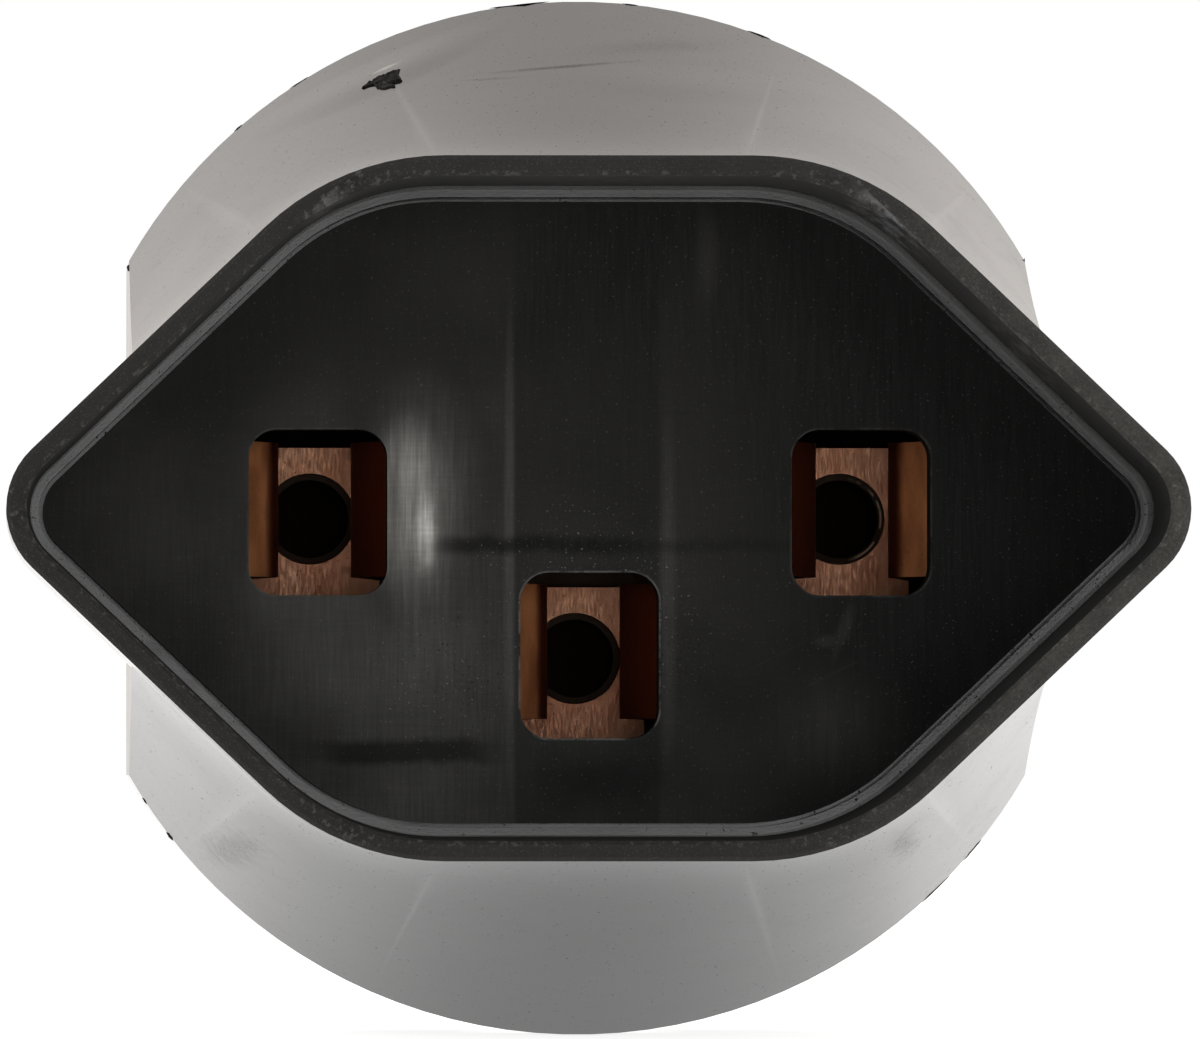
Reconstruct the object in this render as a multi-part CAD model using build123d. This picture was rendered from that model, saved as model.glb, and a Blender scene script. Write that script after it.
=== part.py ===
from build123d import *
import math
import os

# Mains travel adapter: a rubber body with a hexagonal socket collar at one end and a round
# two-pin plug with side earth contacts at the other.
# Millimetres. The axis runs along Y: the socket faces -Y and the plug pins point to +Y.
# +Z is up, and the origin is the middle of the plug face.

# Socket and plug pattern
CONTACT_PITCH = 19.0        # between the two live contacts, and between the two plug pins
EARTH_DROP = 5.0            # earth contact below the line through the live contacts
EARTH_HOLE_RISE = 10.0      # hole for a wall socket's own earth pin, above the plug pins

# Depths along the axis, from the rim of the collar to the plug face
RECESS_DEPTH = 12.0         # rim to socket face
PIN_REACH = 19.5            # socket face to the base plates of the clips
CLIP_THICKNESS = 0.8        # base plates of the clips
BRIDGE_THICKNESS = 12.7     # hard piece that carries the plug pins
COLLAR_LENGTH = 8.5         # straight part of the collar, from the rim
PLUG_LENGTH = 17.0          # straight round part of the plug end

# Collar
COLLAR_WIDTH = 40.8         # over the rounded tips
COLLAR_HEIGHT = 24.3
COLLAR_SLOPE = 43.6         # slanted sides from the horizontal, degrees
COLLAR_TIP_RADIUS = 2.8
COLLAR_CORNER_RADIUS = 9.0
RIM_WALL = 0.7
RIM_OUTER_BEVEL = 0.15
RIM_INNER_BEVEL = 0.12
RECESS_DRAFT = 0.18         # the recess narrows by this much on each side at its bottom
LEDGE_WIDTH = 0.25
LEDGE_RISE = 0.4            # ledge above the socket face
COLLAR_BLEND = 1.6          # length of the hollow start of the flare at the collar
FLARE_STEPS = 3             # stretches in that hollow start

# Plug end of the body
PLUG_DIAMETER = 36.9
FLAT_WIDTH = 32.0           # over the two side flats
TIP_SETBACK = 1.5           # rubber behind the socket face plate, to the ends of the collar's tips
PLUG_EDGE_BEVEL = 0.8
RUBBER_STEP = 0.3           # rubber stands back from the hard plug face
GUIDE_WIDTH = 5.0           # guide groove in each side flat
GUIDE_DEPTH = 1.3
GUIDE_LENGTH = 14.0
SIDE_GROOVE_WIDTH = 7.2     # groove over each side earth contact
SIDE_GROOVE_FLOOR = 16.2    # distance of the groove's floor from the axis
SIDE_GROOVE_LENGTH = 13.6
SIDE_GROOVE_ROUND = 0.5

# Hard socket face with its three contact chambers
FACE_GAP = 0.15             # open joint between rubber and hard face
FACE_THICKNESS = 2.8
OPENING_WIDTH = 4.85
OPENING_HEIGHT = 5.8
OPENING_RADIUS = 1.0
CHAMBER_WIDTH = 7.2
CHAMBER_HEIGHT = 6.8
CHAMBER_WALL = 1.0

# Clips
CLIP_WIDTH = 6.4            # over the two arms at the base plate
CLIP_TOP = 2.55             # base plate and arms above the middle of the contact
CLIP_PLATE_BOTTOM = 3.2     # base plate below it
CLIP_ARM_BOTTOM = 2.2       # arms below it
CLIP_ARM_THICKNESS = 0.6
CLIP_PINCH = 2.5            # between the arms where they grip
CLIP_PINCH_REACH = 11.6     # base plate to the pinch
CLIP_FLARE = 5.0            # between the arm ends
CLIP_END_GAP = 0.8          # arm ends behind the socket face plate
CLIP_BEND = 0.4             # inner radius of the base bends
CLIP_PINCH_ROUND = 1.6

# Plug pins, earth rivet and their hollow necks, expanded in the holes of the clips
PIN_DIAMETER = 4.8
PIN_LENGTH = 19.0           # beyond the plug face
PIN_COLLAR_EDGE = 0.4       # collar of each pin, wider than the pin all round, flush in the plug face
PIN_COLLAR_HEIGHT = 0.4
SHANK_DIAMETER = 4.4        # of pins and rivet inside the bridge
PIN_TIP = 1.2               # rounded end, in two bevels
NECK_DIAMETER = 3.2
NECK_BORE = 2.8
NECK_BORE_DEPTH = 7.5
NECK_DRILL_POINT = 0.9
NECK_SET_BACK = 0.2         # end of the neck below the front of the clip's base plate
RIVET_LENGTH = 5.6          # moulded into the bridge
RIVET_BORE_DEPTH = 5.0
RIVET_HEAD_DIAMETER = 6.4   # moulded-in head that keeps the rivet from being pulled out
RIVET_HEAD_THICKNESS = 1.5

# Plug bridge
BRIDGE_DIAMETER = 29.2
BRIDGE_WIDTH = 26.4         # over its two flats
BRIDGE_FLANGE_DIAMETER = 30.8
BRIDGE_FLANGE_THICKNESS = 2.0

# Earth strap with its two side contacts
STRAP_THICKNESS = 0.8
STRAP_WIDTH = 5.5
STRAP_END_GAP = 1.6         # contact ends behind the plug face
STRAP_BULGE = 0.35          # spring crown of each side contact
STRAP_TIP_TURN = 0.1        # slope of the contact ends towards the axis
STRAP_BEND = 0.8
STRAP_EYE_DIAMETER = 8.4
STRAP_EYE_HOLE = 5.2

# Sleeve for a wall socket's own earth pin
SLEEVE_BORE = 4.9
SLEEVE_WALL = 0.5
SLEEVE_FLANGE_DIAMETER = 7.0
SLEEVE_FLANGE_THICKNESS = 0.5
SLEEVE_SLOT_WIDTH = 0.7
SLEEVE_SLOT_LENGTH = 7.0
SLEEVE_SET_BACK = 1.3
EARTH_HOLE_DIAMETER = 5.6   # mouth in the bridge
EARTH_PIN_DEPTH = 16.0      # free depth for the wall socket's earth pin

# Clearances
MOULD_FIT = 0.04            # around pieces that are moulded in

# Places along the axis
BRIDGE_Y = -BRIDGE_THICKNESS
BASE_Y = BRIDGE_Y - CLIP_THICKNESS
FACE_Y = BASE_Y - PIN_REACH
RIM_Y = FACE_Y - RECESS_DEPTH
COLLAR_Y = RIM_Y + COLLAR_LENGTH
PLUG_Y = -PLUG_LENGTH
LEDGE_Y = FACE_Y - LEDGE_RISE
PLATE_Y = FACE_Y + FACE_THICKNESS

# Places across the axis
LIVE_PLACES = {"line": (-CONTACT_PITCH / 2, 0.0), "neutral": (CONTACT_PITCH / 2, 0.0)}
EARTH_PLACE = (0.0, -EARTH_DROP)
PLACES = [*LIVE_PLACES.values(), EARTH_PLACE]
EARTH_HOLE_PLACE = (0.0, EARTH_HOLE_RISE)
LEDGE_INSET = RIM_WALL + RECESS_DRAFT + LEDGE_WIDTH
FACE_INSET = LEDGE_INSET + FACE_GAP


def prism(outline, front, rear):
    """Extrude a sketch drawn across the axis from one depth to another."""
    return extrude(Plane.XZ.offset(-rear) * outline, amount=rear - front)


def turned(profile, place):
    """Revolve a closed profile of (radius, depth) points about a line along the axis."""
    face = make_face(Polyline(*[(r, y) for r, y in profile], close=True))
    return Pos(place[0], 0, place[1]) * revolve(face, Axis.Y)


def hexagon_points(inset=0.0):
    """Right tip and upper right corner of the collar's hexagon, all sides moved in by inset."""
    slope = math.radians(COLLAR_SLOPE)
    tip = COLLAR_WIDTH / 2 + COLLAR_TIP_RADIUS * (1 / math.sin(slope) - 1)
    corner = tip - COLLAR_HEIGHT / 2 / math.tan(slope)
    return (
        tip - inset / math.sin(slope),
        corner - inset * math.tan(slope / 2),
        COLLAR_HEIGHT / 2 - inset,
    )


def hexagon(inset=0.0):
    """Outline of the collar: round-cornered hexagon with its tips left and right."""
    tip, corner, half = hexagon_points(inset)
    points = [(tip, 0), (corner, half), (-corner, half), (-tip, 0), (-corner, -half), (corner, -half)]
    tip_radius = COLLAR_TIP_RADIUS - inset
    corner_radius = COLLAR_CORNER_RADIUS - inset
    radii = [tip_radius, corner_radius, corner_radius, tip_radius, corner_radius, corner_radius]
    return make_face(FilletPolyline(*points, radius=radii, close=True))


def hexagon_stations():
    """Start, middle and end of each edge of the hexagon, from the right tip anticlockwise."""
    stations = []
    for edge in hexagon().face().outer_wire().order_edges():
        stations.append([edge @ share for share in (0, 0.5, 1)])
    return stations


def flare_outline(share):
    """Outline between the collar's hexagon, at share 0, and the plug's circle, at share 1."""
    arcs = []
    for stations in hexagon_stations():
        spots = []
        for spot in stations:
            angle = math.atan2(spot.Y, spot.X)
            on_circle = Vector(math.cos(angle), math.sin(angle)) * (PLUG_DIAMETER / 2)
            spots.append(spot + (on_circle - spot) * share)
        arcs.append(ThreePointArc(*spots))
    return Face(Wire(arcs))


def flare():
    """Body between collar and plug: a hollow start, then straight out to the plug's circle."""
    length = PLUG_Y - COLLAR_Y
    steps = [COLLAR_BLEND * step / FLARE_STEPS for step in range(FLARE_STEPS + 1)]

    def section(run):
        rise = run - COLLAR_BLEND / 2 if run > COLLAR_BLEND else run * run / COLLAR_BLEND / 2
        outline = flare_outline(rise / (length - COLLAR_BLEND / 2)) if run else hexagon()
        return Plane.XZ.offset(-COLLAR_Y - run) * outline

    hollow = loft([section(run) for run in steps])
    return hollow + loft([section(COLLAR_BLEND), section(length)], ruled=True)


def flared_body():
    """Solid outer form of the body: collar, flare from hexagon to circle, round plug end."""
    body = prism(hexagon(), RIM_Y, COLLAR_Y)
    rim = body.edges().group_by(Axis.Y)[0]
    body = chamfer(rim, RIM_OUTER_BEVEL)
    plug = prism(Circle(PLUG_DIAMETER / 2), PLUG_Y, -RUBBER_STEP)
    plug = chamfer(plug.edges().group_by(Axis.Y)[-1], PLUG_EDGE_BEVEL)
    rear = (flare() + plug) & prism(Rectangle(FLAT_WIDTH, 2 * PLUG_DIAMETER), COLLAR_Y, 0)
    return body + rear + prism(hexagon(), COLLAR_Y, PLATE_Y + TIP_SETBACK)


def chamber_block(spare=0.0):
    """Outline around the three contact chambers."""
    wall = 2 * (CHAMBER_WALL + spare)
    bar = Rectangle(CONTACT_PITCH + CHAMBER_WIDTH + wall, CHAMBER_HEIGHT + wall)
    foot = Pos(0, -EARTH_DROP) * Rectangle(CHAMBER_WIDTH + wall, CHAMBER_HEIGHT + wall)
    return bar + foot


def bridge_outline(diameter, spare=0.0):
    return Circle(diameter / 2 + spare) & Rectangle(BRIDGE_WIDTH + 2 * spare, 2 * diameter)


def strap_side(sign):
    """One half of the earth strap: flat web, bend and crowned side contact."""
    web_y = BRIDGE_Y + STRAP_THICKNESS / 2
    rest = SIDE_GROOVE_FLOOR + STRAP_THICKNESS / 2
    bend = STRAP_BEND + STRAP_THICKNESS / 2
    cut = bend * (1 - math.sqrt(0.5))
    web = Line((0, web_y, 0), (0, web_y, sign * (rest - bend)))
    corner_middle = (0, web_y + cut, sign * (rest - cut))
    corner = ThreePointArc(web @ 1, corner_middle, (0, web_y + bend, sign * rest))
    crown_middle = (0, (web_y + bend - STRAP_END_GAP) / 2, sign * (rest + STRAP_BULGE))
    crown_end = (0, -STRAP_END_GAP, sign * rest)
    end_tangents = [(0, 1, 0), (0, 1, -sign * STRAP_TIP_TURN)]
    crown = Spline(corner @ 1, crown_middle, crown_end, tangents=end_tangents)
    path = Wire([web, corner, crown])
    start = Plane(origin=path @ 0, x_dir=(1, 0, 0), z_dir=path % 0)
    return sweep(start * Rectangle(STRAP_WIDTH, STRAP_THICKNESS), path=path)


def make_earth_strap():
    strap = strap_side(1) + strap_side(-1)
    eye = Pos(*EARTH_HOLE_PLACE) * Circle(STRAP_EYE_DIAMETER / 2)
    strap += prism(eye, BRIDGE_Y, BRIDGE_Y + STRAP_THICKNESS)
    hole = Pos(*EARTH_HOLE_PLACE) * Circle(STRAP_EYE_HOLE / 2)
    strap -= prism(hole, BRIDGE_Y - 1, BRIDGE_Y + STRAP_THICKNESS + 1)
    rivet_hole = Pos(*EARTH_PLACE) * Circle(NECK_DIAMETER / 2 + MOULD_FIT)
    return strap - prism(rivet_hole, BRIDGE_Y - 1, BRIDGE_Y + STRAP_THICKNESS + 1)


def make_rubber_body():
    """Moulded rubber body: collar recess, ledge, and the pockets of the hard pieces in it."""
    body = flared_body()
    mouth = Plane.XZ.offset(-RIM_Y) * hexagon(RIM_WALL)
    body -= loft([mouth, Plane.XZ.offset(-LEDGE_Y) * hexagon(RIM_WALL + RECESS_DRAFT)])
    rim = body.faces().group_by(Axis.Y)[0].sort_by(SortBy.AREA)[-1]
    body = chamfer(rim.inner_wires()[0].edges(), RIM_INNER_BEVEL)
    body -= prism(hexagon(LEDGE_INSET), LEDGE_Y, PLATE_Y)
    body -= prism(chamber_block(MOULD_FIT), PLATE_Y, BRIDGE_Y)
    body -= prism(bridge_outline(BRIDGE_DIAMETER, MOULD_FIT), BRIDGE_Y, 1)
    flange_rear = BRIDGE_Y + BRIDGE_FLANGE_THICKNESS + MOULD_FIT
    body -= prism(bridge_outline(BRIDGE_FLANGE_DIAMETER, MOULD_FIT), BRIDGE_Y, flange_rear)
    for side in (-1, 1):
        guide = Pos(side * FLAT_WIDTH / 2, 0) * Rectangle(2 * GUIDE_DEPTH, GUIDE_WIDTH)
        body -= prism(guide, -GUIDE_LENGTH, 1)
        depth = PLUG_DIAMETER / 2 - SIDE_GROOVE_FLOOR
        groove = Rectangle(SIDE_GROOVE_WIDTH, 2 * depth)
        groove = fillet(groove.vertices(), SIDE_GROOVE_ROUND)
        body -= prism(Pos(0, side * (SIDE_GROOVE_FLOOR + depth)) * groove, -SIDE_GROOVE_LENGTH, 1)
        slot = Rectangle(STRAP_WIDTH + 2 * MOULD_FIT, PLUG_DIAMETER / 2)
        slot_middle = side * (SIDE_GROOVE_FLOOR + STRAP_THICKNESS - PLUG_DIAMETER / 4)
        slot_rear = BRIDGE_Y + STRAP_THICKNESS + STRAP_BEND
        body -= prism(Pos(0, slot_middle) * slot, BRIDGE_Y - MOULD_FIT, slot_rear)
    tip_space = Pos(*EARTH_HOLE_PLACE) * Circle(STRAP_EYE_DIAMETER / 2 + MOULD_FIT)
    return body - prism(tip_space, -EARTH_PIN_DEPTH, BRIDGE_Y + STRAP_THICKNESS)


def make_socket_face():
    """Hard black moulding: face plate with three openings, and a chamber behind each."""
    face = prism(hexagon(FACE_INSET), FACE_Y, PLATE_Y)
    face += prism(chamber_block(), PLATE_Y, BRIDGE_Y)
    opening = RectangleRounded(OPENING_WIDTH, OPENING_HEIGHT, OPENING_RADIUS)
    chamber = Rectangle(CHAMBER_WIDTH, CHAMBER_HEIGHT)
    for place in PLACES:
        face -= prism(Pos(*place) * opening, FACE_Y - 1, PLATE_Y + 1)
        face -= prism(Pos(*place) * chamber, PLATE_Y, BRIDGE_Y + 1)
    return face


def make_plug_bridge():
    """Hard insulating piece moulded round the plug pins and the earth parts."""
    bridge = prism(bridge_outline(BRIDGE_DIAMETER), BRIDGE_Y, 0)
    bridge += prism(bridge_outline(BRIDGE_FLANGE_DIAMETER), BRIDGE_Y, BRIDGE_Y + BRIDGE_FLANGE_THICKNESS)
    collar = PIN_DIAMETER / 2 + PIN_COLLAR_EDGE
    for place in LIVE_PLACES.values():
        bridge -= prism(Pos(*place) * Circle(SHANK_DIAMETER / 2 + MOULD_FIT), BRIDGE_Y - 1, 1)
        bridge -= prism(Pos(*place) * Circle(collar + MOULD_FIT), -PIN_COLLAR_HEIGHT, 1)
    bridge -= turned([(0, BRIDGE_Y), *rivet_shank_points(MOULD_FIT)], EARTH_PLACE)
    strap_bed = Rectangle(STRAP_WIDTH + 2 * MOULD_FIT, 2 * PLUG_DIAMETER)
    bed_depth = BRIDGE_Y + STRAP_THICKNESS + MOULD_FIT
    bridge -= prism(strap_bed, BRIDGE_Y - 1, bed_depth)
    eye = Pos(*EARTH_HOLE_PLACE) * Circle(STRAP_EYE_DIAMETER / 2 + MOULD_FIT)
    bridge -= prism(eye, BRIDGE_Y - 1, bed_depth)
    flange = Pos(*EARTH_HOLE_PLACE) * Circle(SLEEVE_FLANGE_DIAMETER / 2 + MOULD_FIT)
    bridge -= prism(flange, BRIDGE_Y, bed_depth + SLEEVE_FLANGE_THICKNESS + MOULD_FIT)
    seat = Pos(*EARTH_HOLE_PLACE) * Circle(SLEEVE_BORE / 2 + SLEEVE_WALL + MOULD_FIT)
    bridge -= prism(seat, BRIDGE_Y, -SLEEVE_SET_BACK + MOULD_FIT)
    mouth = Pos(*EARTH_HOLE_PLACE) * Circle(EARTH_HOLE_DIAMETER / 2)
    return bridge - prism(mouth, BRIDGE_Y, 1)


def neck_points(base_y, bore_depth):
    """Hollow neck, from the bottom of the bore round to the shoulder."""
    bore = NECK_BORE / 2
    neck = NECK_DIAMETER / 2
    return [
        (0, BASE_Y + bore_depth + NECK_DRILL_POINT),
        (bore, BASE_Y + bore_depth),
        (bore, BASE_Y + NECK_SET_BACK),
        (neck, BASE_Y + NECK_SET_BACK),
        (neck, base_y),
    ]


def rivet_shank_points(spare=0.0):
    """Outside of the rivet's moulded-in end: its shank and its head."""
    shank = SHANK_DIAMETER / 2 + spare
    head = RIVET_HEAD_DIAMETER / 2 + spare
    front = BRIDGE_Y + STRAP_THICKNESS
    end = front + RIVET_LENGTH
    head_front = end - RIVET_HEAD_THICKNESS - spare
    return [(shank, front), (shank, head_front), (head, head_front), (head, end + spare), (0, end + spare)]


def make_plug_pin(place):
    """Round plug pin: its collar sits flush in the plug face and its hollow neck holds the clip."""
    radius = PIN_DIAMETER / 2
    shank = SHANK_DIAMETER / 2
    collar = radius + PIN_COLLAR_EDGE
    step = PIN_TIP / 3
    profile = neck_points(BRIDGE_Y, NECK_BORE_DEPTH)
    profile += [
        (shank, BRIDGE_Y),
        (shank, -PIN_COLLAR_HEIGHT),
        (collar, -PIN_COLLAR_HEIGHT),
        (collar, 0),
        (radius, 0),
        (radius, PIN_LENGTH - PIN_TIP),
        (radius - step, PIN_LENGTH - step),
        (radius - PIN_TIP, PIN_LENGTH),
        (0, PIN_LENGTH),
    ]
    return turned(profile, place)


def make_earth_rivet():
    """Blind rivet that joins the earth clip to the strap and holds both on the bridge."""
    profile = neck_points(BRIDGE_Y + STRAP_THICKNESS, RIVET_BORE_DEPTH) + rivet_shank_points()
    return turned(profile, EARTH_PLACE)


def make_clip(place):
    """Bronze clip: base plate with a hole for the rivet neck and two sprung arms."""
    half = CLIP_ARM_THICKNESS / 2
    side = CLIP_WIDTH / 2 - half
    base = BASE_Y + half
    pinch = CLIP_PINCH / 2 + half
    end = CLIP_FLARE / 2 + half
    points = [
        (end, PLATE_Y + CLIP_END_GAP),
        (pinch, BASE_Y - CLIP_PINCH_REACH),
        (side, base),
    ]
    points += [(-x, y) for x, y in reversed(points)]
    bend = CLIP_BEND + half
    path = FilletPolyline(*points, radius=[CLIP_PINCH_ROUND, bend, bend, CLIP_PINCH_ROUND])
    height = CLIP_TOP + CLIP_ARM_BOTTOM
    section = Plane(origin=path @ 0, x_dir=(0, 0, 1), z_dir=path % 0) * Rectangle(height, CLIP_ARM_THICKNESS)
    arms = Pos(0, 0, (CLIP_TOP - CLIP_ARM_BOTTOM) / 2) * sweep(section, path=path)
    plate = Rectangle(CLIP_WIDTH - 2 * bend, CLIP_TOP + CLIP_PLATE_BOTTOM)
    plate = prism(Pos(0, (CLIP_TOP - CLIP_PLATE_BOTTOM) / 2) * plate, BASE_Y, BRIDGE_Y)
    hole = prism(Circle(NECK_DIAMETER / 2 + MOULD_FIT), BASE_Y - 1, BRIDGE_Y + 1)
    return Pos(place[0], 0, place[1]) * (arms + plate - hole)


def make_earth_sleeve():
    """Slotted female contact for the earth pin that some wall sockets have."""
    bore = SLEEVE_BORE / 2
    outer = bore + SLEEVE_WALL
    front = BRIDGE_Y + STRAP_THICKNESS
    sleeve = prism(Circle(outer), front, -SLEEVE_SET_BACK)
    sleeve += prism(Circle(SLEEVE_FLANGE_DIAMETER / 2), front, front + SLEEVE_FLANGE_THICKNESS)
    sleeve -= prism(Circle(bore), front - 1, 1)
    slot = Rectangle(SLEEVE_SLOT_WIDTH, 2 * outer + 1)
    sleeve -= prism(slot, -SLEEVE_SET_BACK - SLEEVE_SLOT_LENGTH, 1)
    return Pos(EARTH_HOLE_PLACE[0], 0, EARTH_HOLE_PLACE[1]) * sleeve


def main():
    pieces = {
        "rubber_body": make_rubber_body(),
        "socket_face": make_socket_face(),
        "plug_bridge": make_plug_bridge(),
        "earth_strap": make_earth_strap(),
        "earth_rivet": make_earth_rivet(),
        "earth_sleeve": make_earth_sleeve(),
        "earth_clip": make_clip(EARTH_PLACE),
    }
    for name, place in LIVE_PLACES.items():
        pieces[name + "_clip"] = make_clip(place)
        pieces[name + "_pin"] = make_plug_pin(place)
    os.makedirs("parts", exist_ok=True)
    for name, piece in pieces.items():
        export_step(piece, f"parts/{name}.step")


main()
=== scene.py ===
import math
import random

import bmesh
import bpy
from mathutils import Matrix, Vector, noise
from mathutils.bvhtree import BVHTree
from mathutils.kdtree import KDTree


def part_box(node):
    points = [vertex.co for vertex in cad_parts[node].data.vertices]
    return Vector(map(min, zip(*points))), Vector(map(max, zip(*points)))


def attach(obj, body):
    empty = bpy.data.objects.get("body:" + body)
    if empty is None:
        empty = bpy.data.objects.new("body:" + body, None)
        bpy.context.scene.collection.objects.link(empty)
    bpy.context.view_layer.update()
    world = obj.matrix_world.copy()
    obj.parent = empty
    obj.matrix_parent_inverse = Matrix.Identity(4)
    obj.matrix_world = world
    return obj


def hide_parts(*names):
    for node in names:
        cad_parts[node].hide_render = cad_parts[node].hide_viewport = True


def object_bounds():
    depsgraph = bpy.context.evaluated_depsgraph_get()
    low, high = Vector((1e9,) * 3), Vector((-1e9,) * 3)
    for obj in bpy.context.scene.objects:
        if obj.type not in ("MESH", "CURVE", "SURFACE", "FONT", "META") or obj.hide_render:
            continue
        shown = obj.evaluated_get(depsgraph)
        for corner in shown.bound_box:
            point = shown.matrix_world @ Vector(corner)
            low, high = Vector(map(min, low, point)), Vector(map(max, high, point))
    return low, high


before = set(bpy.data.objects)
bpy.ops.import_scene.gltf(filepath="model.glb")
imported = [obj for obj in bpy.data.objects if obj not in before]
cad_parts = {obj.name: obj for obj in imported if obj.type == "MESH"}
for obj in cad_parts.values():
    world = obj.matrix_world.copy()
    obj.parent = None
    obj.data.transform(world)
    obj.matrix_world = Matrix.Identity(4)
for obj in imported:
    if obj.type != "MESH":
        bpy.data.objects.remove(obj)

# Travel adapter lying on its side: rubber body, hard socket face, bronze clips, plated plug pins.
# Metres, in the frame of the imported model: the socket faces -Y, +Z is up.

MM = 0.001
NOISE_MIDDLE = (0.3, 0.7)    # most of what a noise gives
NOISE_RANGE = (0.25, 0.75)   # nearly all of it
CAD_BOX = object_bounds()
random.seed(7)

# Places in the frame
RIM_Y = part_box("rubber_body")[0].y
FACE_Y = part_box("socket_face")[0].y
CLIP_FRONT_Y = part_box("line_clip")[0].y
CLIP_BASE_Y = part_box("line_clip")[1].y
PLUG_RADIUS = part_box("rubber_body")[1].z
FLOOR_Z = CAD_BOX[0].z
EARTH_Z = (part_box("earth_rivet")[0].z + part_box("earth_rivet")[1].z) / 2 / MM
NEUTRAL_X = (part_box("neutral_pin")[0].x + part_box("neutral_pin")[1].x) / 2 / MM
CONTACTS = {"line": (-NEUTRAL_X, 0.0), "neutral": (NEUTRAL_X, 0.0), "earth": (0.0, EARTH_Z)}

# Body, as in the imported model
COLLAR_HALF = 12.15 * MM
COLLAR_SLOPE = math.radians(43.6)
COLLAR_SLANT = 14.94 * MM   # distance of the slanted sides from the axis
COLLAR_BASE_Y = RIM_Y + 8.5 * MM
RIM_WALL = 0.7 * MM
PLUG_Y = -17.0 * MM         # front of the straight round part
FLAT_X = 16.0 * MM
OPENING_HALF = (2.425, 2.9)
OPENING_RADIUS = 1.0
NECK_RADIUS = 1.5

# Camera of the photograph: a long lens, a little below and left of the axis
CAMERA_AIM = Vector((0.02, -45.0, -0.39)) * MM
CAMERA_DIRECTION = Vector((0.02849, 1.0, 0.0120)).normalized()
CAMERA_DISTANCE = 729.3 * MM
CAMERA_LENS = 636.0
CAMERA_SENSOR = 36.0
CAMERA_CLIP = (0.01, 20)
IMAGE_WIDTH, IMAGE_HEIGHT = 1200, 1039

# Light: a white surround that the slanted sides mirror, and a dim room in front of the face
ROOM_FRONT = (0.09, 0.09, 0.085)
ROOM_REAR = (1.0, 0.95, 0.91)
ROOM_EDGE = (-0.45, 0.05)   # where one changes into the other, along Y
LAMPS = {
    # name: place, size, power
    "key": ((-0.55, -0.75, 0.75), 0.6, 1.4),
    "left": ((-0.36, -0.95, 0.05), 0.25, 1.2),
    "right": ((0.36, -0.95, 0.05), 0.25, 1.7),
    "front": ((0.03, -1.0, 0.0), 0.16, 0.25),
}
FLOOR_SIZE = 4.0
FLOOR_ALBEDO = 0.8
FLOOR_ROUGHNESS = 0.9
FLOOR_LIFT = 0.85           # added for camera and mirror rays, so that the lit floor is white

# Shading of the flare: its face normals are averaged over that distance
FLARE_BLUR = 2.2 * MM
FLARE_REACH = 2.5           # in blurs
FLARE_SHARES = (0.2, 0.7)   # sample places of a face, from its middle to each corner
FLARE_TILT = (-0.7, -0.0001)   # range of the normal's Y on the flare
EDGE_SLACK = 0.01 * MM

# Scratches on the socket face: direction in radians, and waves per metre
SCRATCH_TURN = 0.45
SCRATCH_SCALE = (120, 1000, 9000)

# Damage: the nick's outline is in pixels of the photograph
NICK_OUTLINE = [
    (361, 89), (371, 82), (380, 77), (388, 74), (401, 69), (399, 75), (403, 81),
    (391, 84), (396, 87), (383, 90), (376, 88), (373, 85),
]
NICK_RINGS = [(1.0, -0.02), (0.9, 0.08), (0.7, 0.03), (0.4, 0.06), (0.1, 0.02)]   # scale, height in mm
NICK_SHARES = (0, 0.25, 0.5, 0.75)   # points of each side of the outline
NICK_JITTER = 0.5                    # of a pixel
NICK_BUMPS = (0.15 * MM, 0.06 * MM)  # size and depth
FLASH = [
    # pixel, length along the edge and height in mm
    ((133, 268), 0.25, 0.08), ((240, 130), 0.4, 0.03), ((300, 84), 0.8, 0.02), ((520, 9), 2.2, 0.025),
    ((630, 4), 0.6, 0.02), ((760, 33), 0.9, 0.04), ((1028, 262), 0.3, 0.02), ((975, 852), 1.0, 0.03),
    ((935, 888), 1.4, 0.02), ((1026, 765), 0.4, 0.05), ((175, 832), 0.4, 0.05), ((146, 800), 0.3, 0.03),
]
FLASH_ROUGH = (0.45, 2.2)        # share and frequency of a crumb's bumps
FLASH_DEPTH = (0.15, 0.2)        # middle behind the edge and half size along Y, in mm


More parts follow.
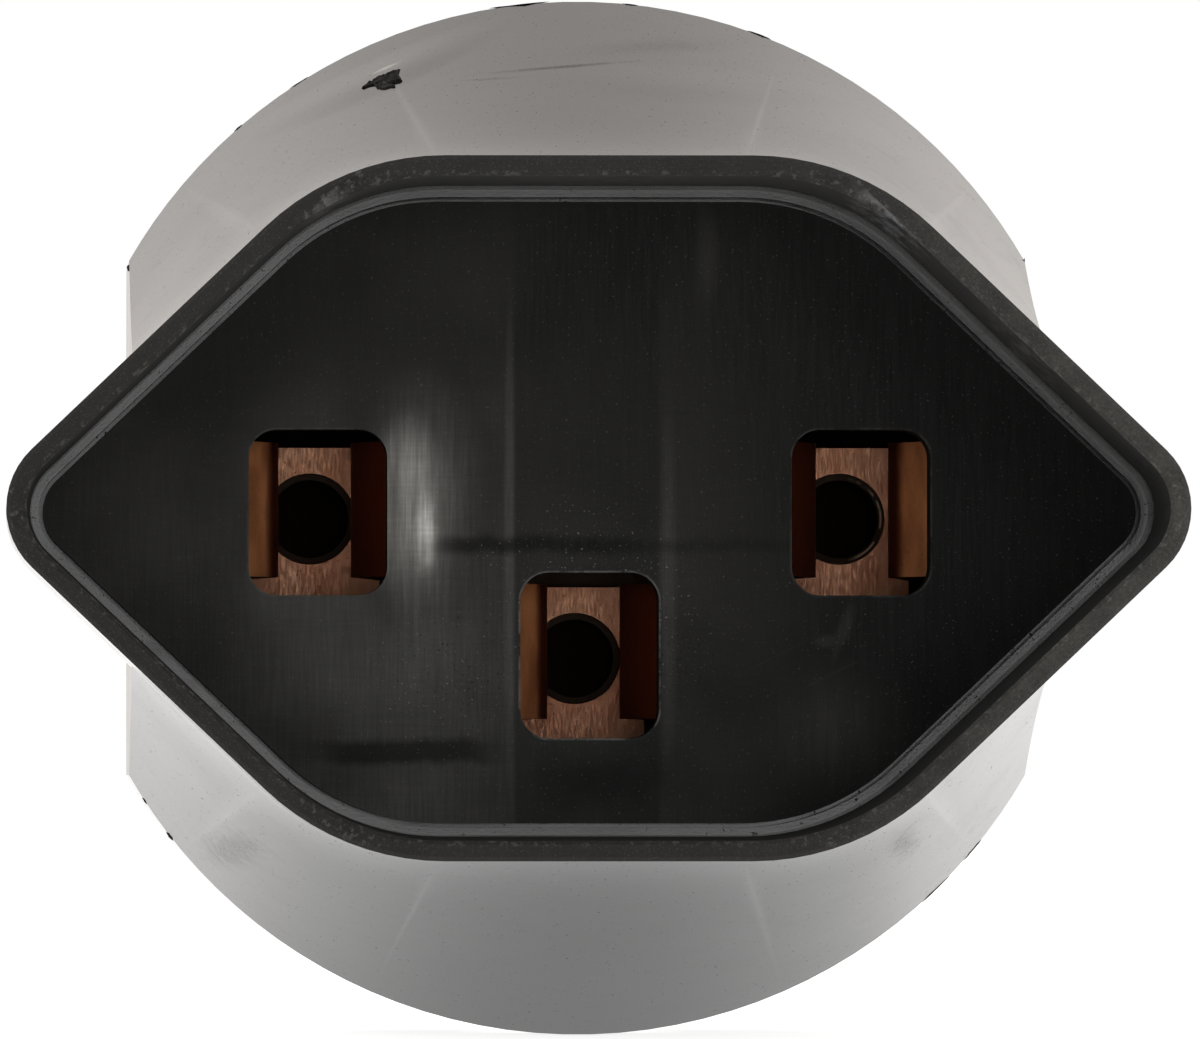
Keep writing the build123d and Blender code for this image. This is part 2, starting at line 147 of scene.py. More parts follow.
class Finish:
    """One procedural material, with short forms for its nodes."""

    def __init__(self, name):
        self.material = bpy.data.materials.new(name)
        self.material.use_nodes = True
        self.tree = self.material.node_tree
        self.shader = self.tree.nodes["Principled BSDF"]
        self.place = self.node("ShaderNodeTexCoord").outputs["Object"]
        axes = self.node("ShaderNodeSeparateXYZ", {"Vector": self.place}).outputs
        self.x, self.y, self.z = axes["X"], axes["Y"], axes["Z"]

    def node(self, kind, inputs=None, **settings):
        made = self.tree.nodes.new(kind)
        for name, value in settings.items():
            setattr(made, name, value)
        for name, value in (inputs or {}).items():
            self.feed(made.inputs[name], value)
        return made

    def feed(self, socket, value):
        if isinstance(value, bpy.types.NodeSocket):
            self.tree.links.new(value, socket)
        else:
            socket.default_value = value

    def math(self, operation, first, second=0.0, third=0.0):
        inputs = {0: first, 1: second, 2: third}
        return self.node("ShaderNodeMath", inputs, operation=operation).outputs[0]

    def add(self, *values):
        total = values[0]
        for value in values[1:]:
            total = self.math("ADD", total, value)
        return total

    def times(self, *values):
        product = values[0]
        for value in values[1:]:
            product = self.math("MULTIPLY", product, value)
        return product

    def most(self, *values):
        largest = values[0]
        for value in values[1:]:
            largest = self.math("MAXIMUM", largest, value)
        return largest

    def less(self, value, share=1.0):
        """1 minus a share of a mask, to darken with."""
        return self.math("MULTIPLY_ADD", value, -share, 1.0)

    def vector(self, operation, first, second=(0, 0, 0)):
        inputs = {0: first, 1: second}
        return self.node("ShaderNodeVectorMath", inputs, operation=operation).outputs[0]

    def length(self, vector):
        return self.node("ShaderNodeVectorMath", {0: vector}, operation="LENGTH").outputs["Value"]

    def span(self, value, start, end, low=0.0, high=1.0):
        """Smooth step of a value, from low at start to high at end."""
        inputs = {"Value": value, "From Min": start, "From Max": end, "To Min": low, "To Max": high}
        return self.node("ShaderNodeMapRange", inputs, interpolation_type="SMOOTHSTEP").outputs["Result"]

    def noise(self, size, detail=2.0, stretch=(1, 1, 1), roughness=0.5, shift=0.0):
        """Cloudy noise, about 0.25 to 0.75, with features of that size."""
        scaled = self.vector("MULTIPLY", self.place, tuple(s / size for s in stretch))
        moved = self.vector("ADD", scaled, (shift, shift, shift))
        inputs = {"Vector": moved, "Scale": 1.0, "Detail": detail, "Roughness": roughness}
        return self.node("ShaderNodeTexNoise", inputs).outputs["Fac"]

    def specks(self, size, share, stretch=(1, 1, 1), shift=0.0):
        """Scattered small specks: share is how much of the noise's range they take."""
        return self.span(self.noise(size, 1, stretch, shift=shift), 0.75 - share, 0.79 - share)

    def turned(self, vector, angle):
        inputs = {"Vector": vector, "Angle": angle}
        return self.node("ShaderNodeVectorRotate", inputs, rotation_type="Y_AXIS").outputs[0]

    def across(self, x, z):
        """Place across the axis, from a point given in mm."""
        offset = self.vector("SUBTRACT", self.place, (x * MM, 0, z * MM))
        return self.vector("MULTIPLY", offset, (1, 0, 1))

    def spot(self, x, z, wide, tall, edge=0.3, warp=0.0, warp_size=1.0, turn=0.0):
        """Soft ellipse seen along the axis: middle and half sizes in mm, turn in degrees."""
        offset = self.across(x, z)
        if turn:
            offset = self.turned(offset, math.radians(turn))
        scaled = self.vector("MULTIPLY", offset, (1 / (wide * MM), 0, 1 / (tall * MM)))
        length = self.length(scaled)
        if warp:
            length = self.add(length, self.times(self.add(self.noise(warp_size * MM, 3), -0.5), warp))
        return self.span(length, 1, edge)

    def bar(self, x_range, z_range, soft):
        """Soft uneven rectangle seen along the axis: ranges and widths of its soft edges in mm."""
        uneven = self.times(self.add(self.noise(1.1 * MM, 3, (1, 1, 0.2)), -0.5), 0.5 * MM)
        sides = []
        for value, (start, end), edge in ((self.x, x_range, soft[0]), (self.z, z_range, soft[1])):
            moved = self.add(value, uneven)
            sides.append(self.span(moved, (start - edge) * MM, (start + edge) * MM))
            sides.append(self.span(moved, (end + edge) * MM, (end - edge) * MM))
        return self.times(*sides)

    def ring(self, x, z, radius, width):
        """Thin ring seen along the axis, in mm."""
        from_line = self.math("ABSOLUTE", self.add(self.length(self.across(x, z)), -radius * MM))
        return self.span(from_line, width * MM, width * 0.3 * MM)

    def opening_line(self, x, z):
        """Thin line round the edge of one socket opening."""
        mirrored = self.vector("ABSOLUTE", self.across(x, z))
        straight_x, straight_z = [(half - OPENING_RADIUS) * MM for half in OPENING_HALF]
        past_straight = self.vector("SUBTRACT", mirrored, (straight_x, 0, straight_z))
        corner = self.vector("MAXIMUM", past_straight)
        beyond = self.add(self.length(corner), -OPENING_RADIUS * MM)
        return self.span(beyond, 0.09 * MM, 0.03 * MM)

    def shade(self, tint, lightness):
        inputs = {0: tint, "Scale": lightness}
        return self.node("ShaderNodeVectorMath", inputs, operation="SCALE").outputs[0]

    def blend(self, factor, first, second):
        inputs = {"Fac": factor, "Color1": first, "Color2": second}
        return self.node("ShaderNodeMixRGB", inputs).outputs["Color"]

    def bump(self, height, depth):
        bumps = self.node("ShaderNodeBump", {"Height": height, "Distance": depth})
        self.feed(self.shader.inputs["Normal"], bumps.outputs["Normal"])

    def set(self, **values):
        for name, value in values.items():
            self.feed(self.shader.inputs[name.replace("_", " ").title().replace("Ior", "IOR")], value)


def rubber():
    """Black rubber: glossy moulded sides, a matt rim lighter towards +X, smears on the inner wall with
    painted highlights.
    """
    finish = Finish("rubber")
    cloud = finish.noise(7 * MM, 3)
    grain = finish.noise(0.1 * MM, 2)
    wide_x = finish.math("ABSOLUTE", finish.x)
    high_z = finish.math("ABSOLUTE", finish.z)
    slant = finish.add(
        finish.times(wide_x, math.sin(COLLAR_SLOPE)),
        finish.times(high_z, math.cos(COLLAR_SLOPE)),
    )
    from_slant = finish.add(finish.times(slant, -1), COLLAR_SLANT)
    inset = finish.math("MINIMUM", from_slant, finish.add(finish.times(high_z, -1), COLLAR_HALF))

    rim = finish.span(finish.y, RIM_Y + 0.35 * MM, RIM_Y + 0.1 * MM)
    inside = finish.times(
        finish.span(inset, RIM_WALL - 0.08 * MM, RIM_WALL + 0.02 * MM),
        finish.span(finish.y, COLLAR_BASE_Y, COLLAR_BASE_Y - 0.5 * MM),
    )
    side = finish.times(finish.less(rim), finish.less(inside))

    # Rim colour: lighter towards +X, and mottled.
    rim_tone = finish.times(
        finish.span(finish.x, 3 * MM, 19 * MM, 0.009, 0.049),
        finish.span(finish.noise(1.4 * MM, 4, roughness=0.65, shift=2), *NOISE_MIDDLE, 0.65, 1.3),
        finish.span(finish.noise(0.12 * MM, 3, shift=4), *NOISE_MIDDLE, 0.75, 1.25),
    )
    rim_dust = finish.times(finish.specks(0.07 * MM, 0.12), 0.03)
    inner_edge = finish.times(
        finish.span(inset, RIM_WALL - 0.22 * MM, RIM_WALL - 0.12 * MM),
        finish.span(finish.y, RIM_Y + 0.3 * MM, RIM_Y + 0.05 * MM),
        finish.span(finish.noise(0.3 * MM, 4, roughness=0.7, shift=5), 0.52, 0.64),
    )
    smear = finish.noise(0.8 * MM, 4, (1, 0.3, 1), 0.65, 3)
    # Smears on the inner wall with painted highlights: a lighter, bluer colour at the upper corners, on
    # the right wall and along the top.
    smears_and_highlights = finish.times(
        inside,
        finish.span(finish.y, FACE_Y - 1.0 * MM, FACE_Y - 2.5 * MM),
        finish.span(smear, 0.38, 0.66),
        finish.most(
            finish.spot(10.3, 10.2, 2.3, 1.5, 0.2, turn=-35),
            finish.times(finish.spot(-9.6, 10.6, 1.5, 1.2, 0.2), 0.55),
            finish.times(finish.spot(15.0, 5.8, 3.0, 1.2, 0.1, turn=-43), 0.35),
            finish.times(finish.spot(0.0, 11.2, 8.0, 0.5, 0.2), 0.08),
            0.03,
        ),
    )
    pits = finish.times(finish.specks(0.12 * MM, 0.025, shift=9), side)
    # Painted highlight: a light line along the fold beside the nick.
    nick_painted_highlight = finish.times(finish.spot(-6.9, 15.95, 0.8, 0.07, 0.1, 0.3, 0.3, turn=24), side)
    lightness = finish.add(
        finish.span(cloud, *NOISE_MIDDLE, 0.007, 0.011),
        finish.times(rim, finish.add(rim_tone, rim_dust)),
        finish.times(inner_edge, 0.06),
        finish.times(smears_and_highlights, 0.2),
        finish.times(nick_painted_highlight, 0.3),
    )
    warm = finish.shade((1, 0.96, 0.88), lightness)
    # Bluer tint of the painted highlights on the inner wall.
    highlight_tint = finish.shade((0.86, 0.94, 1.08), lightness)
    finish.set(base_color=finish.blend(smears_and_highlights, warm, highlight_tint))

    streak = finish.noise(1.6 * MM, 4, (0.25, 0.6, 1.6), 0.6, 2)
    scuffs = finish.most(
        finish.times(finish.spot(-0.9, 15.85, 4.0, 0.1, 0.0, 0.6, 1.0, turn=5), 0.8),
        finish.times(finish.spot(2.8, 16.7, 4.2, 0.55, 0.0, 0.7, 1.3, turn=4), 0.35),
        finish.times(finish.spot(-3.4, 15.4, 2.0, 0.08, 0.0, 0.5, 0.6, turn=3), 0.5),
        finish.times(finish.spot(-12.3, -11.8, 1.6, 1.0, 0.1, 0.9, 0.4), 0.35),
        finish.times(finish.spot(11.2, -11.6, 1.0, 0.8, 0.1, 0.9, 0.4), 0.35),
    )
    side_roughness = finish.add(
        finish.span(cloud, *NOISE_MIDDLE, 0.12, 0.16),
        finish.span(streak, 0.55, 0.8, 0.0, 0.05),
        finish.times(pits, 0.3),
        finish.times(scuffs, finish.span(grain, *NOISE_MIDDLE, 0.25, 0.45)),
    )
    rim_roughness = finish.times(rim, 0.88)
    inside_roughness = finish.times(inside, finish.less(smears_and_highlights, 0.4), 0.95)
    finish.set(roughness=finish.most(side_roughness, rim_roughness, inside_roughness))
    folds = finish.add(
        finish.spot(-7.2, 15.6, 5.6, 0.75, 0.0, turn=24),
        finish.times(finish.spot(4.0, 15.2, 6.5, 0.8, 0.0, turn=-3), 0.3),
    )
    height = finish.add(
        finish.times(grain, finish.add(0.12, finish.times(rim, 0.88))),
        finish.times(cloud, 1.5),
        finish.times(pits, -0.7),
        finish.times(folds, side, 4.0),
    )
    finish.bump(height, 0.012 * MM)
    return finish.material


def torn_rubber():
    """Dull torn rubber of the nick and of the mould flash."""
    finish = Finish("torn_rubber")
    ragged = finish.noise(0.12 * MM, 4, roughness=0.7)
    lightness = finish.span(ragged, 0.35, 0.7, 0.004, 0.03)
    finish.set(base_color=finish.shade((1, 0.93, 0.85), lightness), specular_ior_level=0.12)
    finish.set(roughness=finish.span(ragged, *NOISE_MIDDLE, 0.6, 0.9))
    finish.bump(ragged, 0.05 * MM)
    return finish.material


def hard_plastic():
    """Black moulding, worn and hazy on the socket face: clouds, scratches and dust, with painted
    highlights and painted reflection bands.
    """
    finish = Finish("hard_plastic")
    front = finish.span(finish.y, FACE_Y + 0.4 * MM, FACE_Y + 0.15 * MM)
    cloud = finish.noise(5 * MM, 3, shift=1)
    brushed = finish.noise(0.09 * MM, 3, (1, 1, 0.05), 0.6)
    crossed = finish.noise(0.09 * MM, 2, (0.07, 1, 1), 0.5, 4)
    streaks = finish.noise(0.35 * MM, 3, (1, 1, 0.08), 0.6, 7)

    haze = finish.times(
        finish.span(finish.x, 13 * MM, -13 * MM, 0.0, 0.052),
        finish.span(finish.z, 12 * MM, -6 * MM, 0.22, 1.25),
        finish.span(cloud, *NOISE_RANGE, 0.6, 1.4),
    )
    # Painted highlight: a lamp's reflection beside the line opening, with fainter patches elsewhere on the
    # face.
    painted_highlight = finish.times(
        finish.add(
            finish.times(finish.spot(-6.2, -0.2, 1.7, 4.2, 0.0), 0.19),
            finish.times(finish.spot(-5.9, 0.6, 2.6, 5.0, 0.0), 0.1),
            finish.times(finish.spot(-5.0, -4.5, 3.0, 3.6, 0.0), 0.03),
            finish.times(finish.spot(-6.4, 1.9, 1.3, 1.9, 0.0), 0.14),
            finish.times(finish.spot(8.7, -7.6, 3.4, 3.0, 0.0), 0.022),
        ),
        finish.span(streaks, *NOISE_RANGE, 0.7, 1.3),
    )
    # A scuff carrying the bright core of the painted highlight.
    scuff_and_highlight = finish.times(
        finish.spot(-5.75, -0.75, 0.55, 1.7, 0.0, 0.6, 0.7),
        finish.span(streaks, *NOISE_MIDDLE, 0.6, 1.3),
        0.5,
    )
    # Painted reflections: two tall light bands either side of the earth opening, and two fainter patches.
    reflection_bands = finish.add(
        finish.times(finish.spot(-2.8, -1.0, 0.26, 10.2, 0.3), 0.034),
        finish.times(finish.spot(2.75, -2.6, 0.42, 8.0, 0.2), 0.024),
        finish.times(finish.spot(4.1, 9.0, 0.6, 2.4, 0.1), 0.016),
        finish.times(finish.spot(-9.5, -3.0, 2.4, 1.6, 0.0), 0.01),
    )
    between = finish.times(
        finish.span(finish.x, -2.75 * MM, -2.5 * MM),
        finish.span(finish.x, 2.6 * MM, 2.3 * MM),
        finish.span(finish.z, 11 * MM, 8 * MM, 0.3, 1.0),
    )
    kept = finish.times(
        finish.less(between, 0.45),
        finish.less(finish.bar((-5.2, 1.6), (-1.4, -0.85), (0.8, 0.22)), 0.8),
        finish.less(finish.bar((-1.0, 13.0), (-1.35, -0.95), (3.0, 0.2)), 0.45),
        finish.less(finish.bar((-9.4, -3.4), (-8.75, -7.95), (1.2, 0.2)), 0.75),
        finish.less(finish.spot(1.6, 9.3, 3.4, 2.2, 0.0), 0.6),
        finish.less(finish.spot(0.6, -9.4, 3.4, 1.5, 0.1, 0.8, 1.0), 0.6),
        finish.less(finish.spot(-11.5, -0.7, 3.0, 2.2, 0.1), 0.3),
        finish.span(finish.x, -14 * MM, -9 * MM, 0.6, 1.0),
    )
    hook = finish.most(
        finish.spot(8.9, -4.1, 0.35, 1.3, 0.3, 0.6, 0.7, turn=-20),
        finish.spot(8.3, -4.5, 0.5, 0.35, 0.3, 0.5, 0.6),
    )
    dust_zone = finish.most(
        finish.spot(0.4, -3.2, 5.8, 5.4, 0.2),
        finish.spot(-3.0, -1.3, 1.8, 0.9, 0.1),
        finish.times(finish.spot(-5.5, -6.0, 4.5, 4.0, 0.1), 0.7),
        0.2,
    )
    dust = finish.times(finish.specks(0.11 * MM, 0.07, shift=11), dust_zone)
    fine_dust = finish.times(finish.specks(0.06 * MM, 0.1, shift=13), dust_zone)
    pores = finish.times(
        finish.specks(0.13 * MM, 0.075, shift=17),
        finish.most(finish.spot(-4.6, -5.4, 3.6, 3.4, 0.2), finish.spot(2.4, -5.6, 4.0, 4.0, 0.1)),
    )
    scratch_place = finish.vector("MULTIPLY", finish.turned(finish.place, SCRATCH_TURN), SCRATCH_SCALE)
    inputs = {"Vector": scratch_place, "Scale": 1.0, "Detail": 1.0}
    scratch_noise = finish.node("ShaderNodeTexNoise", inputs).outputs["Fac"]
    scratches = finish.times(
        finish.span(scratch_noise, 0.66, 0.72),
        finish.spot(8.5, -5.0, 7.0, 4.0, 0.0),
    )
    edges = finish.add(
        finish.times(finish.opening_line(*CONTACTS["earth"]), 0.11),
        finish.times(finish.opening_line(*CONTACTS["line"]), 0.03),
        finish.times(finish.opening_line(*CONTACTS["neutral"]), 0.03),
    )
    worn = finish.noise(0.9 * MM, 4, roughness=0.7, shift=8)
    edges = finish.times(edges, finish.span(worn, 0.4, 0.6))

    # Haze and scratches, together with the painted highlights and painted reflections.
    haze_and_highlights = finish.add(haze, painted_highlight, scuff_and_highlight, reflection_bands, finish.times(scratches, 0.012), 0.0015)
    grained = finish.times(
        haze_and_highlights,
        finish.span(brushed, *NOISE_RANGE, 0.8, 1.2),
        finish.span(crossed, *NOISE_RANGE, 0.94, 1.06),
        kept,
        finish.less(finish.times(pores, 0.6)),
    )
    dust_and_highlights = finish.add(grained, finish.times(dust, 0.2), finish.times(fine_dust, 0.05), edges)
    finish.set(base_color=finish.shade((1, 0.99, 0.94), finish.add(0.002, finish.times(dust_and_highlights, front))))
    roughness = finish.add(finish.span(brushed, *NOISE_MIDDLE, 0.68, 0.8), finish.times(hook, front, -0.2))
    finish.set(roughness=roughness, specular_ior_level=0.2)
    height = finish.add(brushed, finish.times(crossed, 0.5), finish.times(pores, front, -2))
    finish.bump(height, 0.003 * MM)
    return finish.material


def bronze():
    """Rolled bronze strip: dull base plates, darker and redder arms, painted highlights on the arms at
    some entries.
    """
    finish = Finish("bronze")
    cloud = finish.noise(2.2 * MM, 3)
    rolled = finish.noise(0.07 * MM, 3, (1, 1, 0.16), 0.6)
    coarse = finish.noise(0.4 * MM, 3, (1, 1, 0.4), 0.6, 3)
    pits = finish.specks(0.09 * MM, 0.05, shift=6)
    arm = finish.span(finish.y, CLIP_BASE_Y - 0.9 * MM, CLIP_BASE_Y - 1.6 * MM)
    entry = finish.span(finish.y, CLIP_FRONT_Y + 3.6 * MM, CLIP_FRONT_Y + 2.4 * MM)
    # Painted highlights: the arm strips that face the lamps get a bright orange, less metallic colour near
    # their entries.
    arm_highlight_places = finish.most(
        finish.spot(CONTACTS["line"][0] - 2.1, 0, 1.1, 5, 0.7),
        finish.spot(CONTACTS["earth"][0] - 2.1, EARTH_Z, 1.1, 5, 0.7),
        finish.spot(CONTACTS["neutral"][0] + 2.1, 0, 1.1, 5, 0.7),
    )
    wear_and_highlight = finish.times(entry, arm_highlight_places, finish.span(cloud, 0.3, 0.65, 0.6, 1.0))

    tone = finish.blend(finish.span(cloud, *NOISE_MIDDLE), (0.52, 0.25, 0.145, 1), (0.70, 0.38, 0.24, 1))
    tone = finish.blend(finish.span(coarse, 0.5, 0.75, 0, 0.4), tone, (0.86, 0.56, 0.38, 1))
    # Arms darker and redder than the base plates.
    tone = finish.blend(finish.times(arm, 0.9), tone, (0.40, 0.13, 0.065, 1))
    tone = finish.blend(wear_and_highlight, tone, (1.0, 0.42, 0.17, 1))
    tone = finish.blend(finish.times(pits, 0.8), tone, (0.12, 0.04, 0.02, 1))
    finish.set(base_color=tone, metallic=finish.less(wear_and_highlight, 0.9))
    finish.set(roughness=finish.span(rolled, *NOISE_MIDDLE, 0.34, 0.52))
    finish.bump(finish.add(rolled, finish.times(pits, -1)), 0.006 * MM)
    return finish.material


def plated_brass():
    """Nickel plated brass: bright drawn pins and contacts, painted shade where the openings show the bores
    and pin ends, and a painted glint on the neutral pin's rim.
    """
    finish = Finish("plated_brass")
    cloud = finish.noise(3 * MM, 3)
    drawn = finish.noise(0.1 * MM, 2, (1, 0.06, 1))
    # Rubbed patches of the plating: yellower and rougher.
    wear_and_highlight = finish.noise(0.8 * MM, 4, (1, 0.35, 1), 0.65, 2)
    near_bore = finish.most(*[finish.spot(x, z, 2.3, 2.3, 0.95) for x, z in CONTACTS.values()])
    # Painted shade: the bores and the pin ends seen through the openings are coloured dark brown.
    bore = finish.times(near_bore, finish.span(finish.y, CLIP_BASE_Y + 10.5 * MM, CLIP_BASE_Y + 9 * MM))
    painted_bore_shade = finish.most(bore, finish.span(finish.y, CLIP_BASE_Y + 0.3 * MM, CLIP_BASE_Y + 0.1 * MM))
    # Painted glint: a bright crescent on the neutral pin's rim.
    painted_glint = finish.times(
        finish.ring(*CONTACTS["neutral"], NECK_RADIUS, 0.05),
        finish.span(finish.x, (NEUTRAL_X + 0.2) * MM, (NEUTRAL_X + 0.9) * MM),
        finish.span(finish.noise(0.5 * MM, 2, shift=5), 0.42, 0.55),
        painted_bore_shade,
    )
    bright = finish.blend(finish.span(cloud, *NOISE_MIDDLE), (0.56, 0.54, 0.49, 1), (0.70, 0.68, 0.63, 1))
    bright = finish.blend(finish.span(wear_and_highlight, 0.56, 0.72, 0, 0.5), bright, (0.62, 0.52, 0.33, 1))
    tone = finish.blend(painted_bore_shade, bright, (0.1, 0.062, 0.04, 1))
    finish.set(base_color=finish.blend(painted_glint, tone, (0.9, 0.7, 0.5, 1)))
    finish.set(metallic=finish.less(finish.times(painted_bore_shade, finish.less(painted_glint)), 0.5))
    roughness = finish.add(
        finish.span(drawn, *NOISE_MIDDLE, 0.17, 0.3),
        finish.span(wear_and_highlight, 0.5, 0.75, 0, 0.14),
        finish.times(painted_bore_shade, 0.35),
    )
    finish.set(roughness=roughness)
    finish.bump(finish.add(drawn, finish.times(wear_and_highlight, 0.5)), 0.003 * MM)
    return finish.material


FINISHES = {
    "rubber": rubber(),
    "torn_rubber": torn_rubber(),
    "hard_plastic": hard_plastic(),
    "bronze": bronze(),
    "plated_brass": plated_brass(),
}
NODE_FINISHES = {
    "rubber_body": "rubber",
    "socket_face": "hard_plastic",
    "plug_bridge": "hard_plastic",
    "earth_strap": "plated_brass",
    "earth_rivet": "plated_brass",
    "earth_sleeve": "bronze",
    "earth_clip": "bronze",
    "line_clip": "bronze",
    "neutral_clip": "bronze",
    "line_pin": "plated_brass",
    "neutral_pin": "plated_brass",
}


def finish_nodes():
    for name, finish in NODE_FINISHES.items():
        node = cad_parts[name]
        node.data.materials.clear()
        node.data.materials.append(FINISHES[finish])


def add_piece(name, mesh, finish):
    """Put a mesh into the scene as a piece of the object's body."""
    mesh.materials.clear()
    mesh.materials.append(FINISHES[finish])
    piece = bpy.data.objects.new(name, mesh)
    bpy.context.scene.collection.objects.link(piece)
    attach(piece, "root")
    return piece


def is_flare(face):
    """Whether a face of the rubber body is on the outside of its flare."""
    in_range = COLLAR_BASE_Y - EDGE_SLACK < face.center.y < PLUG_Y + EDGE_SLACK
    outward = face.normal.x * face.center.x + face.normal.z * face.center.z > 0
    return in_range and outward and FLARE_TILT[0] < face.normal.y < FLARE_TILT[1]


def make_body():
    """Rubber body in the CAD mesh's own shape, its flare shaded as the one smooth surface it is."""
    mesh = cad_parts["rubber_body"].data.copy()
    normals = [corner.vector.copy() for corner in mesh.corner_normals]
    faces = [face for face in mesh.polygons if is_flare(face)]
    tree = KDTree(sum(len(face.vertices) for face in faces) * len(FLARE_SHARES))
    for index, face in enumerate(faces):
        for vertex in face.vertices:
            for share in FLARE_SHARES:
                tree.insert(face.center.lerp(mesh.vertices[vertex].co, share), index)
    tree.balance()
    known = {}
    for face in faces:
        for corner in face.loop_indices:
            vertex = mesh.vertices[mesh.loops[corner].vertex_index].co
            key = tuple(round(value / MM, 3) for value in vertex)
            if key not in known:
                total = Vector()
                for _, index, distance in tree.find_range(vertex, FLARE_REACH * FLARE_BLUR):
                    weight = math.exp(-distance ** 2 / (2 * FLARE_BLUR ** 2)) * faces[index].area
                    total += faces[index].normal * weight
                known[key] = total.normalized()
            normals[corner] = known[key]
    mesh.normals_split_custom_set(normals)
    body = add_piece("rubber_moulding", mesh, "rubber")
    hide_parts("rubber_body")
    return mesh


def camera_ray(pixel):
    """Direction from the camera through a pixel of the photograph."""
    right = CAMERA_DIRECTION.cross(Vector((0, 0, 1))).normalized()
    up = right.cross(CAMERA_DIRECTION)
    reach = CAMERA_LENS / CAMERA_SENSOR * IMAGE_WIDTH
    across = (pixel[0] - IMAGE_WIDTH / 2) / reach
    rise = (IMAGE_HEIGHT / 2 - pixel[1]) / reach
    return (CAMERA_DIRECTION + right * across + up * rise).normalized()


def camera_place():
    return CAMERA_AIM - CAMERA_DIRECTION * CAMERA_DISTANCE


def ragged(place, size, depth):
    """Uneven height in metres, with bumps of that size."""
    return noise.noise(place / size) * depth


def make_nick(body_mesh):
    """Torn nick in the flare: a ragged flap, raised at its lip."""
    corners = [vertex.co for vertex in body_mesh.vertices]
    tree = BVHTree.FromPolygons(corners, [face.vertices[:] for face in body_mesh.polygons])
    count = len(NICK_OUTLINE)
    outline = []
    for index in range(count):
        first, second = Vector(NICK_OUTLINE[index]), Vector(NICK_OUTLINE[(index + 1) % count])
        for share in NICK_SHARES:
            spot = first.lerp(second, share)
            if share:
                jitter = [random.uniform(-NICK_JITTER, NICK_JITTER) for _ in range(2)]
                spot += Vector(jitter)
            outline.append(spot)
    middle = sum(outline, Vector((0, 0))) / len(outline)
    mesh = bpy.data.meshes.new("torn_nick")
    made = bmesh.new()
    rings = []
    for scale, height in NICK_RINGS:
        ring = []
        for spot in outline:
            ray = camera_ray(middle + (spot - middle) * scale)
            hit, normal, _, _ = tree.ray_cast(camera_place(), ray)
            lift = height * MM + (ragged(hit, *NICK_BUMPS) if scale < 1 else 0)
            ring.append(made.verts.new(hit + normal * lift))
        rings.append(ring)
    size = len(outline)
    for outer, inner in zip(rings, rings[1:]):
        for index in range(size):
            after = (index + 1) % size
            made.faces.new((outer[index], outer[after], inner[after], inner[index]))
    made.faces.new(rings[-1])
    bmesh.ops.recalc_face_normals(made, faces=made.faces)
    made.to_mesh(mesh)
    made.free()
    add_piece("torn_nick", mesh, "torn_rubber")


def make_flash():
    """Crumbs and short dashes of mould flash along the widest edge of the body."""
    mesh = bpy.data.meshes.new("mould_flash")
    made = bmesh.new()
    for pixel, length_mm, height_mm in FLASH:
        length, height = length_mm * MM, height_mm * MM
        ray = camera_ray(pixel)
        start = camera_place()
        place = start + ray * ((PLUG_Y - start.y) / ray.y)
        radius = math.hypot(place.x, place.z)
        out = Vector((place.x, 0, place.z)) / radius
        reach = min(PLUG_RADIUS, FLAT_X / max(abs(out.x), 0.01))
        if reach < PLUG_RADIUS:
            out = Vector((math.copysign(1, place.x), 0, 0))
            place = Vector((out.x * FLAT_X, 0, place.z))
        else:
            place = out * reach
        along = Vector((out.z, 0, -out.x))
        crumb = bmesh.ops.create_icosphere(made, subdivisions=3, radius=1.0)
        for vertex in crumb["verts"]:
            local = vertex.co.copy()
            seed = Vector((length_mm, *pixel))
            rough = 1 + FLASH_ROUGH[0] * noise.noise(local * FLASH_ROUGH[1] + seed)
            behind = (FLASH_DEPTH[0] + FLASH_DEPTH[1] * local.y * rough) * MM
            spot = place + along * (local.x * length / 2) + out * (local.z * height * rough)
            vertex.co = spot + Vector((0, PLUG_Y + behind, 0))
            vertex.co.z = max(min(vertex.co.z, PLUG_RADIUS), -PLUG_RADIUS)
    made.to_mesh(mesh)
    made.free()
    add_piece("mould_flash", mesh, "torn_rubber")


def seen_rays(finish):
    """1 for rays that show the surround itself: from the camera, a mirror or through glass."""
    rays = finish.node("ShaderNodeLightPath").outputs
    return finish.most(rays["Is Camera Ray"], rays["Is Glossy Ray"], rays["Is Transmission Ray"])


def make_floor():
    mesh = bpy.data.meshes.new("floor")
    half = FLOOR_SIZE / 2
    corners = [(x * half, y * half, FLOOR_Z) for x, y in ((-1, -1), (1, -1), (1, 1), (-1, 1))]
    mesh.from_pydata(corners, [], [(0, 1, 2, 3)])
    floor = bpy.data.objects.new("floor", mesh)
    bpy.context.scene.collection.objects.link(floor)
    finish = Finish("floor")
    finish.set(base_color=(FLOOR_ALBEDO, FLOOR_ALBEDO, FLOOR_ALBEDO, 1), emission_color=(1, 1, 1, 1))
    finish.set(roughness=FLOOR_ROUGHNESS, specular_ior_level=0.0)
    finish.set(emission_strength=finish.times(seen_rays(finish), FLOOR_LIFT))
    mesh.materials.append(finish.material)


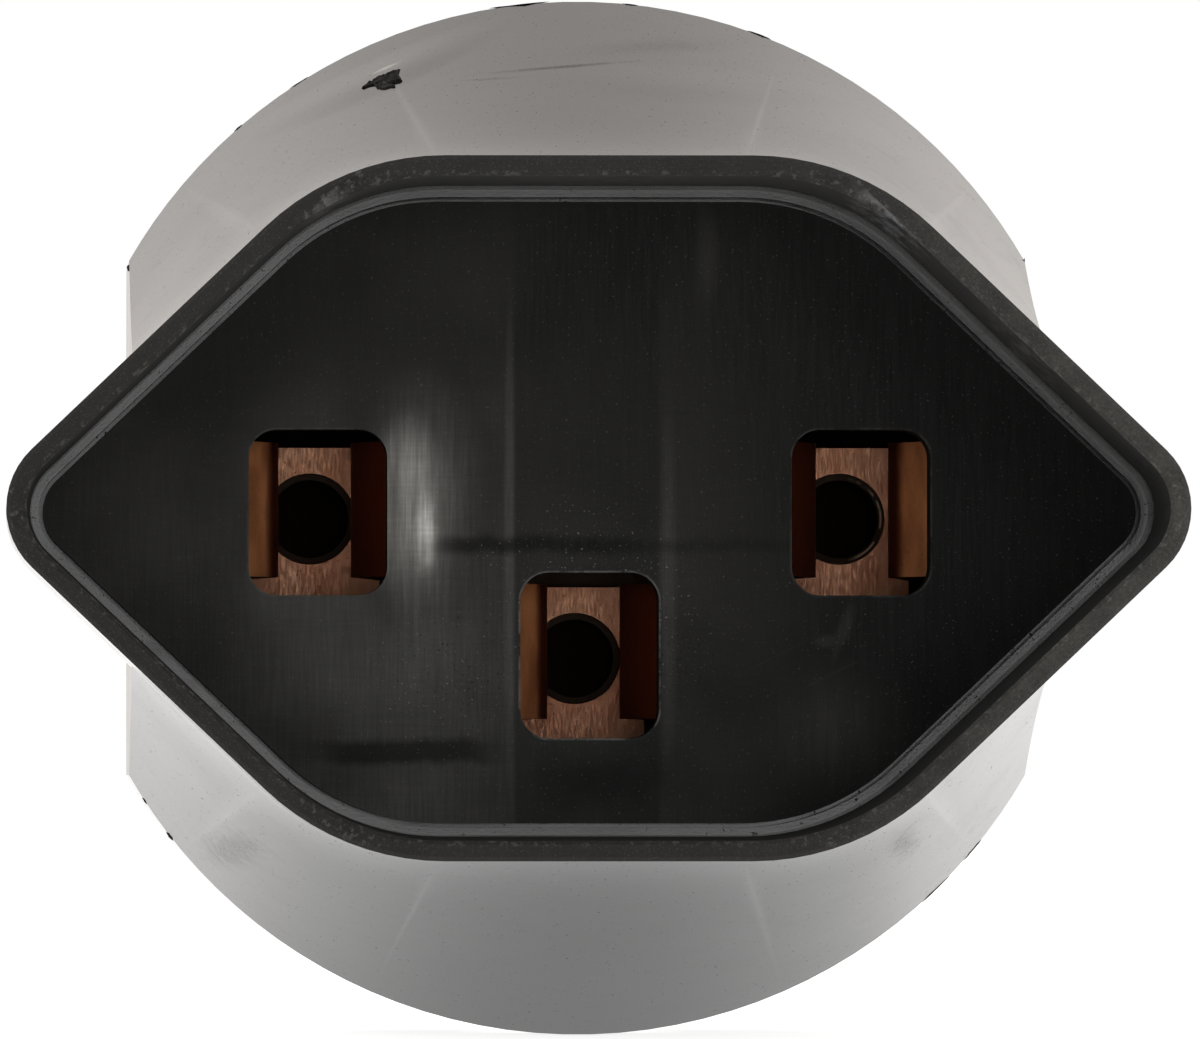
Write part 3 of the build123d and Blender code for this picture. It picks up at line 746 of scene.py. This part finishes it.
def make_world():
    world = bpy.data.worlds.new("studio")
    world.use_nodes = True
    bpy.context.scene.world = world
    tree = world.node_tree
    direction = tree.nodes.new("ShaderNodeTexCoord")
    axes = tree.nodes.new("ShaderNodeSeparateXYZ")
    tree.links.new(direction.outputs["Generated"], axes.inputs["Vector"])
    level = tree.nodes.new("ShaderNodeMapRange")
    level.interpolation_type = "SMOOTHSTEP"
    level.inputs["From Min"].default_value, level.inputs["From Max"].default_value = ROOM_EDGE
    tree.links.new(axes.outputs["Y"], level.inputs["Value"])
    room = tree.nodes.new("ShaderNodeMixRGB")
    room.inputs["Color1"].default_value = (*ROOM_FRONT, 1)
    room.inputs["Color2"].default_value = (*ROOM_REAR, 1)
    tree.links.new(level.outputs["Result"], room.inputs["Fac"])
    rays = tree.nodes.new("ShaderNodeLightPath")
    seen = tree.nodes.new("ShaderNodeMixRGB")
    seen.inputs["Color2"].default_value = (1, 1, 1, 1)
    tree.links.new(rays.outputs["Is Camera Ray"], seen.inputs["Fac"])
    tree.links.new(room.outputs["Color"], seen.inputs["Color1"])
    tree.links.new(seen.outputs["Color"], tree.nodes["Background"].inputs["Color"])


def make_lamps():
    for name, (place, size, power) in LAMPS.items():
        lamp = bpy.data.lights.new(name, "AREA")
        lamp.size = size
        lamp.energy = power
        holder = bpy.data.objects.new(name, lamp)
        holder.location = place
        holder.rotation_mode = "QUATERNION"
        holder.rotation_quaternion = (-Vector(place)).to_track_quat("-Z", "Y")
        bpy.context.scene.collection.objects.link(holder)


def make_camera():
    data = bpy.data.cameras.new("camera")
    data.sensor_fit = "HORIZONTAL"
    data.sensor_width = CAMERA_SENSOR
    data.lens = CAMERA_LENS
    data.clip_start, data.clip_end = CAMERA_CLIP
    camera = bpy.data.objects.new("camera", data)
    camera.location = camera_place()
    camera.rotation_mode = "QUATERNION"
    camera.rotation_quaternion = CAMERA_DIRECTION.to_track_quat("-Z", "Y")
    bpy.context.scene.collection.objects.link(camera)
    bpy.context.scene.camera = camera


finish_nodes()
body_mesh = make_body()
make_nick(body_mesh)
make_flash()
make_floor()
make_world()
make_lamps()
make_camera()
bpy.context.scene.view_settings.view_transform = "Standard"
